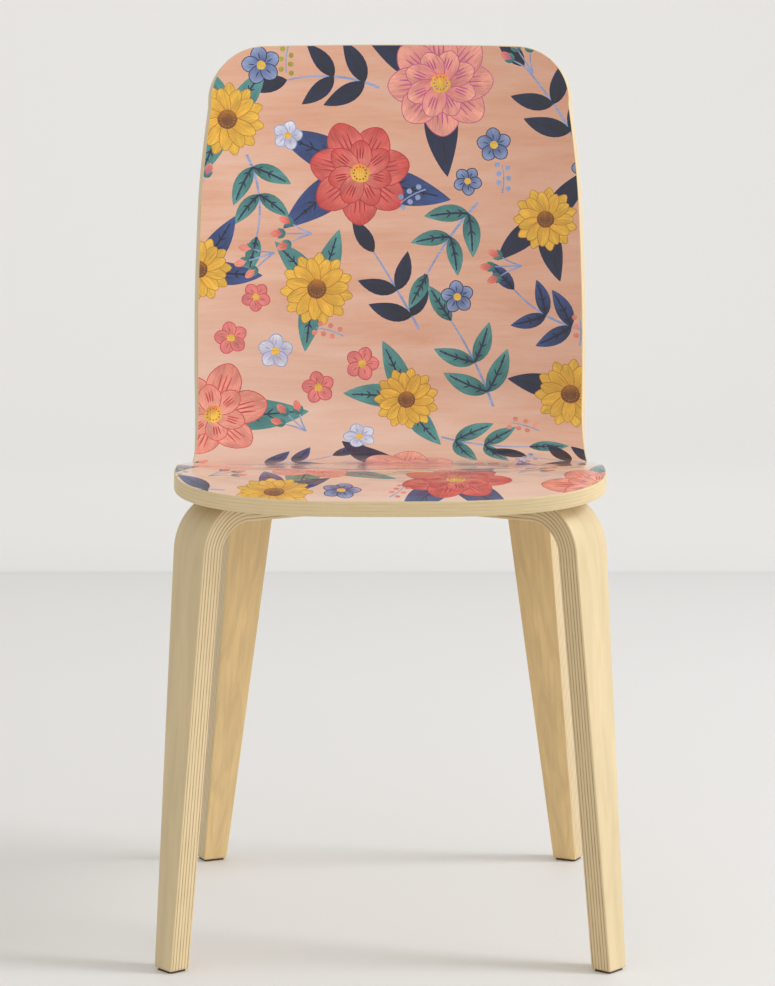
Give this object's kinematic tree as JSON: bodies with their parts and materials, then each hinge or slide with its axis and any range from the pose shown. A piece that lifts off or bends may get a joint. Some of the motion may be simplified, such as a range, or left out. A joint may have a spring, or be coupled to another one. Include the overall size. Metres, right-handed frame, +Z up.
{
  "type": "moulded plywood dining chair",
  "caption": "Dining chair with a one-piece moulded plywood shell, a printed botanical face and four bent plywood legs, for sitting at a table.",
  "frame": {"origin": "on the floor, midway side to side and front to back", "axes": "+Z up, the chair faces -Y, +X to the right of someone looking at its front"},
  "size_m": [0.4524, 0.482, 0.8716],
  "materials": {
    "printed_lacquer": "gloss lacquer over a botanical print",
    "core_birch": "lacquered ply edges",
    "back_veneer": "satin lacquer",
    "leg_birch": "satin lacquer",
    "spacer_rubber": "matte",
    "insert_brass": "machined",
    "zinc_steel": "zinc plated",
    "foot_felt": "dense brown felt",
    "nail_steel": "plain"
  },
  "bodies": {
    "root": {"printed_face_veneer": "printed_lacquer", "shell_core": "core_birch", "back_face_veneer": "back_veneer", "leg_front_left": "leg_birch", "leg_front_right": "leg_birch", "leg_rear_left": "leg_birch", "leg_rear_right": "leg_birch", "spacers_front_left": "spacer_rubber", "spacers_front_right": "spacer_rubber", "spacers_rear_left": "spacer_rubber", "spacers_rear_right": "spacer_rubber", "inserts_front_left": "insert_brass", "inserts_front_right": "insert_brass", "inserts_rear_left": "insert_brass", "inserts_rear_right": "insert_brass", "washers_front_left": "zinc_steel", "washers_front_right": "zinc_steel", "washers_rear_left": "zinc_steel", "washers_rear_right": "zinc_steel", "screws_front_left": "zinc_steel", "screws_front_right": "zinc_steel", "screws_rear_left": "zinc_steel", "screws_rear_right": "zinc_steel", "foot_pad_front_left": "foot_felt", "foot_pad_front_right": "foot_felt", "foot_pad_rear_left": "foot_felt", "foot_pad_rear_right": "foot_felt", "pad_nail_front_left": "nail_steel", "pad_nail_front_right": "nail_steel", "pad_nail_rear_left": "nail_steel", "pad_nail_rear_right": "nail_steel"}
  },
  "joints": []
}
